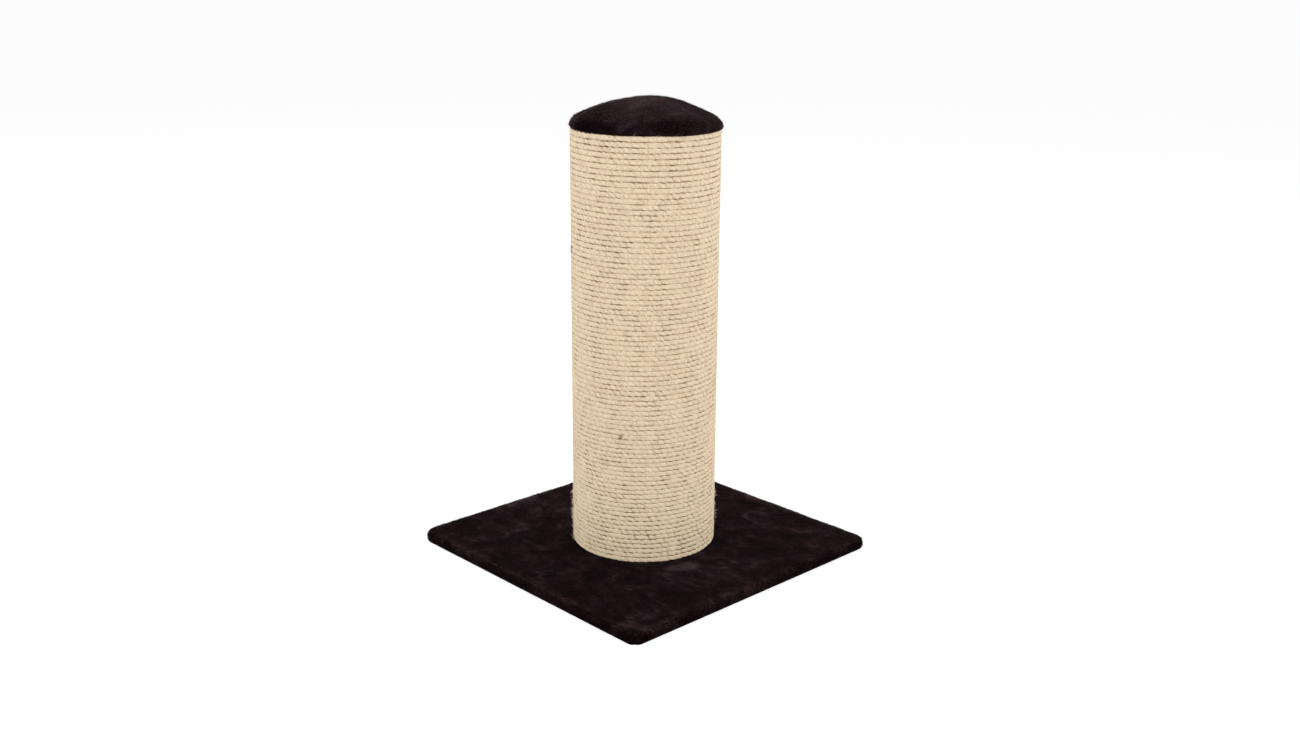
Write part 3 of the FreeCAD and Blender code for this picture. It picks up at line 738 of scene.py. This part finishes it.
def hem_dents(points):
    """How far the hem is drawn in on the underside: at the mitre folded into each corner, and round each
    staple's crown, both falling off as exp(-distance²). A crown's corners come from the staples' mesh, and
    three points between the corners at its two ends stand for its length."""
    off_diagonal = np.abs(np.abs(points[..., 0]) - np.abs(points[..., 1])) / math.sqrt(2)
    mitre = 0.8 * MM * np.exp(-(off_diagonal / (1.1 * MM)) ** 2)
    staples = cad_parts["base_hem_staples"].data
    corners = np.empty(len(staples.vertices) * 3, np.float32)
    staples.vertices.foreach_get("co", corners)
    corners = corners.reshape(-1, 3)
    ends = np.unique(np.round(corners[corners[:, 2] < 1.6 * MM, :2] / MM, 1), axis=0) * MM
    apart = np.linalg.norm(ends[:, None] - ends, axis=-1)
    first, second = np.nonzero(np.triu((apart > 8 * MM) & (apart < 11 * MM)))
    between = [ends[first] * (1 - share) + ends[second] * share for share in (0.25, 0.5, 0.75)]
    crowns = np.concatenate([ends, *between])
    away = np.full(points.shape[:-1], 1.0)
    low = points[..., 2] < MM
    for crown in np.unique(np.round(crowns / MM), axis=0) * MM:
        away[low] = np.minimum(away[low], np.linalg.norm(points[low][:, :2] - crown, axis=-1))
    return mitre + 0.8 * MM * np.exp(-(away / (2.4 * MM)) ** 2)


def make_base_cover():
    """Plush skin over the base board with its hem folded under, as one closed thin sheet."""
    profile = base_profile()
    columns = 4 * (STRAIGHT_STEPS + CORNER_STEPS)
    points = np.stack([np.column_stack([outline_at(inset), np.full(columns, height)])
                       for inset, height, _ in profile])
    normals = grid_normals(points)
    under_post = smooth((np.linalg.norm(points[..., :2], axis=-1) - ROPE_OUTER_RADIUS + 1 * MM) / (4 * MM))
    swell = plush_swell(points)
    outer = profile[:, 2][:, None] * under_post
    below = normals[..., 2] < -0.5
    hem = below & (profile[:, 2] > 0.1)[:, None]
    swell = np.where(below, -np.abs(swell), swell)
    swell = np.where(hem, swell - hem_dents(points) / np.maximum(profile[:, 2], 0.1)[:, None], swell)
    points = points + normals * (swell * outer)[..., None]
    rows = len(profile)
    vertices = np.concatenate([points.reshape(-1, 3), [[0, 0, BASE_TOP], [0, 0, BASE_TOP - SKIN]]])
    faces = tube_faces(rows, columns)
    ends = fans(rows, columns, rows * columns, rows * columns + 1)
    insets, heights = profile[:, 0], profile[:, 1]
    # A painted highlight along the roll of the top edge, and the spots, which lighten the nap through the
    # "bend" attribute.
    near_edge = smooth(1 - np.abs(insets - 5 * MM) / (9 * MM))
    edge_highlight = 0.6 * near_edge * smooth((heights - BASE_TOP) / (2 * MM) + 2)
    bend = edge_highlight[:, None] + rubbed_and_lit_spots(points, BASE_SPOTS) * (heights > BASE_TOP - MM)[:, None]
    piece = make_piece("base_plush", vertices, [faces[:, ::-1], ends[:, ::-1]], base_plush,
                       values={"bend": np.append(bend.ravel(), [0, 0])})
    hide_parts("base_plush_cover")
    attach(piece, "root")
    weights = (profile[:, 2] > 0.7)[:, None] * under_post
    edges = weights * (insets < 5 * MM)[:, None]
    return points, bend, weights, edges


def pile(name, material, grid, lightened_nap, weights, count, shortest, longest, width=0.55 * MM, unruly=0.25):
    """Short tufts that stand on the plush and lean with the nap, which turns slowly over the cloth. unruly is
    how far each strays from it. The argument after the grid is how far the nap is lightened over it: rubbed
    open, and painted sheen and a painted edge highlight."""
    roots, up, lightened_nap = scatter(grid, weights, count, grid_normals(grid), lightened_nap[..., None])
    up /= np.linalg.norm(up, axis=-1, keepdims=True)
    heading = TURN * noise(roots, 60 * MM, 0.2)
    nap = np.stack([np.cos(heading), np.sin(heading), 0 * heading], -1)
    direction = up + 0.5 * nap + random.normal(0, unruly, (count, 3))
    direction /= np.linalg.norm(direction, axis=-1, keepdims=True)
    lengths = random.uniform(shortest, longest, count)
    bend = 0.25 * nap
    piece = spikes(name, roots - up * 0.3 * MM, direction, lengths, width, bend, 1, material,
                   {"bend": lightened_nap[:, 0]})
    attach(piece, "root")


base_grid, base_lightened, base_weights, base_edges = make_base_cover()
pile("base_pile", base_pile_plush, base_grid, base_lightened, base_weights, 40000, 1.0 * MM, 2.0 * MM)
pile("base_edge_fuzz", fuzz_plush, base_grid, base_lightened, base_edges, 15000, 1.4 * MM, 2.8 * MM, 0.3 * MM)

# Cap: the same outline as the CAD cover, worked out from its box
CAP_RADIUS = cap_high.x
CAP_FOOT = cap_low.z
CAP_APEX = cap_high.z
RIM_RADIUS = 12 * MM
RIM_HEIGHT = 3 * MM               # the rim's rounding starts this far above the cap's foot
CAP_COLUMNS = 240
LEFT_SETTLE = 1.0 * MM            # how far the foam has settled left of the middle, seen from the front
RIGHT_SETTLE = 3.1 * MM           # and towards the right
SLIP = 2.4 * MM                   # how far the foot hangs over the rope on the right, and half of it out
LONGEST_TRAVEL = 1.6 * MM         # how far the cloth may move as it is blown up
CLOTH_FRAMES = 20
CLOTH_PRESSURE = 4


def cap_section(inset):
    """Half section of the dome set in: crown arc from the apex, then the rim's arc down to its side."""
    rim_centre = np.array([CAP_RADIUS - RIM_RADIUS, CAP_FOOT + RIM_HEIGHT])
    rise = CAP_APEX - rim_centre[1]
    crown = (rim_centre[0] ** 2 + rise ** 2 - RIM_RADIUS ** 2) / (2 * (rise - RIM_RADIUS))
    crown_centre = CAP_APEX - crown
    meet = math.atan2(rim_centre[1] - crown_centre, rim_centre[0])
    crown_angles = np.linspace(math.pi / 2 - 0.01, meet, 42)
    rim_angles = np.linspace(meet, 0, 12)[1:]
    crown_points = np.stack([np.cos(crown_angles), np.sin(crown_angles)], -1) * (crown - inset)
    rim_points = np.stack([np.cos(rim_angles), np.sin(rim_angles)], -1) * (RIM_RADIUS - inset)
    return np.concatenate([crown_points + [0, crown_centre], rim_points + rim_centre])


def settle(points, share):
    """The dome as it has settled on its foam: lower to the left of the middle and towards the right,
    each by a smooth step across the front, and its foot a little out and down on the right. share is how
    much a row follows."""
    turn = math.radians(FRONT_AZIMUTH)
    across = points[..., 0] * math.cos(turn) + points[..., 1] * math.sin(turn)
    above_foot = smooth((points[..., 2] - CAP_FOOT - 4 * MM) / (8 * MM))
    drop = LEFT_SETTLE * smooth((2 * MM - across) / (22 * MM))
    drop = drop + RIGHT_SETTLE * smooth((across - 22 * MM) / (46 * MM))
    slip = SLIP * smooth((across - 5 * MM) / (35 * MM)) * (1 - above_foot)
    outward = points[..., :2] / np.maximum(np.linalg.norm(points[..., :2], axis=-1, keepdims=True), MM)
    moved = points.copy()
    moved[..., :2] += outward * (slip / 2 * share)[..., None]
    moved[..., 2] -= (drop * above_foot + slip) * share
    return moved


def blow_up(grid):
    """Cloth held at the grid's last row and blown up from inside by a light pressure for CLOTH_FRAMES, with
    gravity off. No point goes further than LONGEST_TRAVEL. Returns the grid as the cloth lies."""
    rows, columns = grid.shape[:2]
    vertices = np.concatenate([grid.reshape(-1, 3), grid[[0]].mean(1)])
    column = np.arange(columns)
    middle = np.stack([(column + 1) % columns, column, np.full(columns, rows * columns)], -1)
    walls = tube_faces(rows, columns)
    sheet = make_piece("cap_cloth", vertices, [walls[:, ::-1], middle[:, ::-1]], cap_plush)
    held = sheet.vertex_groups.new(name="held")
    held.add(list(range((rows - 1) * columns, rows * columns)), 1.0, "REPLACE")
    cloth = sheet.modifiers.new("cloth", "CLOTH")
    cloth.settings.vertex_group_mass = "held"
    cloth.settings.use_pressure = True
    cloth.settings.uniform_pressure_force = CLOTH_PRESSURE
    cloth.settings.effector_weights.gravity = 0
    cloth.point_cache.frame_end = CLOTH_FRAMES
    for step in range(1, CLOTH_FRAMES + 1):
        bpy.context.scene.frame_set(step)
    blown = sheet.evaluated_get(bpy.context.evaluated_depsgraph_get()).to_mesh()
    places = np.empty(len(blown.vertices) * 3, np.float32)
    blown.vertices.foreach_get("co", places)
    bpy.context.scene.frame_set(1)
    bpy.data.objects.remove(sheet)
    travel = places.reshape(-1, 3)[:rows * columns].reshape(grid.shape) - grid
    size = np.maximum(np.linalg.norm(travel, axis=-1, keepdims=True), 1e-9)
    return grid + travel * np.minimum(1, LONGEST_TRAVEL / size)


def turned(section):
    """Grid of a section's (radius, height) points turned about the post's axis."""
    section = np.asarray(section)
    turn = np.linspace(0, TURN, CAP_COLUMNS, endpoint=False)
    return np.stack([section[:, :1] * np.cos(turn), section[:, :1] * np.sin(turn),
                     np.repeat(section[:, 1:], CAP_COLUMNS, 1)], -1)


def close_grid(name, points, material):
    """Closed mesh of a grid turned about the axis, with a fan at its first and last row."""
    rows, columns = points.shape[:2]
    vertices = np.concatenate([points.reshape(-1, 3), points[[0, -1]].mean(1)])
    ends = fans(rows, columns, rows * columns, rows * columns + 1)
    piece = make_piece(name, vertices, [tube_faces(rows, columns)[:, ::-1], ends[:, ::-1]], material)
    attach(piece, "root")
    return piece


def make_cap():
    """Plush cap and the foam under it. The cover is the settled, blown-up dome, its foot rounded under to a
    hem, and the same dome set in by the skin's thickness. The foam is the dome set in a little more, hollowed
    for the board and the bolt's head. Returns the cover's grid, how far the nap of its pile is lightened, and
    weights for its pile."""
    dome = cap_section(0)
    foot_radius = 2 * MM
    foot = [(CAP_RADIUS - foot_radius * (1 - math.cos(angle)), CAP_FOOT + foot_radius * (1 - math.sin(angle)))
            for angle in np.radians((0, 30, 60, 90))]
    swells = np.concatenate([np.ones(len(dome)), [0.4, 0.4, 0.2, 0.0]])[:, None]
    outside = turned(np.concatenate([dome, foot]))
    broad = 0.8 * MM * noise(outside, 55 * MM, 0.6) - 0.6 * MM
    follows = np.minimum(swells * 2.5, 1)
    outside = settle(outside + grid_normals(outside) * (broad * swells)[..., None], follows)
    outside = blow_up(outside)
    normals = grid_normals(outside)
    skin = outside + normals * (plush_swell(outside) * swells)[..., None]
    hem = turned([(CAP_RADIUS - inset * MM, CAP_FOOT) for inset in (6, 12, 18, 24)]
                 + [(CAP_RADIUS - 25 * MM, CAP_FOOT + SKIN / 2), (CAP_RADIUS - 24.5 * MM, CAP_FOOT + SKIN),
                    (CAP_RADIUS - SKIN - 1 * MM, CAP_FOOT + SKIN)])
    inside = (outside - normals * SKIN)[:len(dome)]
    cover = close_grid("cap_plush", np.concatenate([skin, hem, inside[::-4]]), cap_plush)
    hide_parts("cap_plush_cover")

    board_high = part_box("cap_board")[1]
    bolt_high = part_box("cap_bolt")[1]
    gap = 0.2 * MM
    edge = 3 * MM
    rounding = [(board_high.x + gap - edge * (1 - math.cos(angle)),
                 board_high.z + gap - edge * (1 - math.sin(angle))) for angle in np.radians((0, 30, 60, 90))]
    seat = turned([(board_high.x + gap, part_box("cap_foam")[0].z)] + rounding
                  + [(bolt_high.x + gap, board_high.z + gap), (bolt_high.x + gap, bolt_high.z + gap)])
    under = (outside - normals * (SKIN + gap))[:len(dome)]
    pad = close_grid("cap_foam_pad", np.concatenate([under, seat]), foam)
    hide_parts("cap_foam")
    weights = np.repeat(swells > 0.9, CAP_COLUMNS, 1).astype(float)
    # The spots lighten the pile's nap: nap rubbed open, and a broad painted highlight on the cap's right.
    return skin, rubbed_and_lit_spots(skin, CAP_SPOTS), weights


cap_grid = make_cap()
pile("cap_pile", cap_pile_plush, *cap_grid, 12000, 1.0 * MM, 2.2 * MM, unruly=0.12)
pile("cap_fuzz", fuzz_plush, *cap_grid, 6000, 1.6 * MM, 3.2 * MM, 0.3 * MM, unruly=0.2)

# ---------------------------------------------------------------- stage, light and camera


def seen_or_mirrored(tree):
    """1 for the rays that the camera sees directly, in a gloss or through glass, and 0 for the others."""
    rays = add(tree, "ShaderNodeLightPath")
    looked_at = maths(tree, "MAXIMUM", rays.outputs["Is Camera Ray"], rays.outputs["Is Glossy Ray"])
    return maths(tree, "MAXIMUM", looked_at, rays.outputs["Is Transmission Ray"])


def make_floor():
    """Pale floor. The camera and glossy rays see it lifted towards white, with the shadow kept."""
    half = 80.0
    corners = np.array([[-half, -half], [half, -half], [half, half], [-half, half]])
    vertices = np.column_stack([corners, np.full(4, -0.1 * MM)])
    material = bpy.data.materials.new("pale_floor")
    material.use_nodes = True
    tree = material.node_tree
    tree.nodes.remove(tree.nodes["Principled BSDF"])
    plain = add(tree, "ShaderNodeBsdfDiffuse", {"Color": (0.60, 0.60, 0.60, 1)})
    seen = add(tree, "ShaderNodeBsdfDiffuse", {"Color": (0.45, 0.45, 0.46, 1)})
    glow = add(tree, "ShaderNodeEmission", {"Color": (1, 1, 1, 1), "Strength": 0.72})
    lifted = add(tree, "ShaderNodeAddShader", {0: seen.outputs[0], 1: glow.outputs[0]})
    looked_at = seen_or_mirrored(tree)
    mixed = add(tree, "ShaderNodeMixShader", {0: looked_at, 1: plain.outputs[0], 2: lifted.outputs[0]})
    tree.links.new(mixed.outputs[0], tree.nodes["Material Output"].inputs["Surface"])
    floor = make_piece("floor", vertices, [np.array([[0, 1, 2, 3]])], material, shade_smooth=False)


def make_world():
    """Even white surroundings at a plain level, and full white where the camera sees past the floor."""
    world = bpy.data.worlds.new("studio")
    bpy.context.scene.world = world
    world.use_nodes = True
    tree = world.node_tree
    looked_at = seen_or_mirrored(tree)
    strength = maths(tree, "ADD", 0.55, maths(tree, "MULTIPLY", looked_at, 0.45))
    background = tree.nodes["Background"]
    background.inputs["Color"].default_value = (1, 1, 1, 1)
    tree.links.new(strength, background.inputs["Strength"])


def soft_light(name, azimuth, elevation, distance, size, power):
    """Square area lamp that looks at the middle of the post."""
    lamp = bpy.data.lights.new(name, "AREA")
    lamp.size = size
    lamp.energy = power
    target = Vector((0, 0, 0.25))
    turn, lift = math.radians(azimuth), math.radians(elevation)
    away = Vector((math.sin(turn) * math.cos(lift), -math.cos(turn) * math.cos(lift), math.sin(lift)))
    lamp_object = bpy.data.objects.new(name, lamp)
    bpy.context.scene.collection.objects.link(lamp_object)
    lamp_object.location = target + away * distance
    lamp_object.rotation_euler = away.to_track_quat("Z", "Y").to_euler()


def make_camera():
    """Camera at the photograph's viewing angle."""
    azimuth, tilt, roll, pan = (math.radians(angle) for angle in
                                (CAMERA_AZIMUTH, CAMERA_TILT, CAMERA_ROLL, CAMERA_PAN))
    place = Vector((math.sin(azimuth) * CAMERA_DISTANCE, -math.cos(azimuth) * CAMERA_DISTANCE, CAMERA_HEIGHT))
    ahead = Vector((-math.sin(azimuth + pan) * math.cos(tilt), math.cos(azimuth + pan) * math.cos(tilt),
                    -math.sin(tilt)))
    level = ahead.cross(Vector((0, 0, 1))).normalized()
    upright = level.cross(ahead)
    right = level * math.cos(roll) + upright * math.sin(roll)
    up = upright * math.cos(roll) - level * math.sin(roll)
    data = bpy.data.cameras.new("camera")
    data.sensor_width = 36.0
    data.lens = data.sensor_width * FOCAL_PIXELS / IMAGE_WIDTH
    camera = bpy.data.objects.new("camera", data)
    bpy.context.scene.collection.objects.link(camera)
    facing = Matrix((right, up, -ahead)).transposed()
    camera.matrix_world = Matrix.Translation(place) @ facing.to_4x4()
    bpy.context.scene.camera = camera


make_floor()
make_world()
soft_light("key", CAMERA_AZIMUTH - 60, 24, 2.2, 1.6, 30)
soft_light("fill", CAMERA_AZIMUTH + 60, 24, 2.2, 1.6, 30)
soft_light("back", CAMERA_AZIMUTH + 158, 50, 2.0, 1.4, 21)
make_camera()
bpy.context.scene.view_settings.view_transform = "Standard"
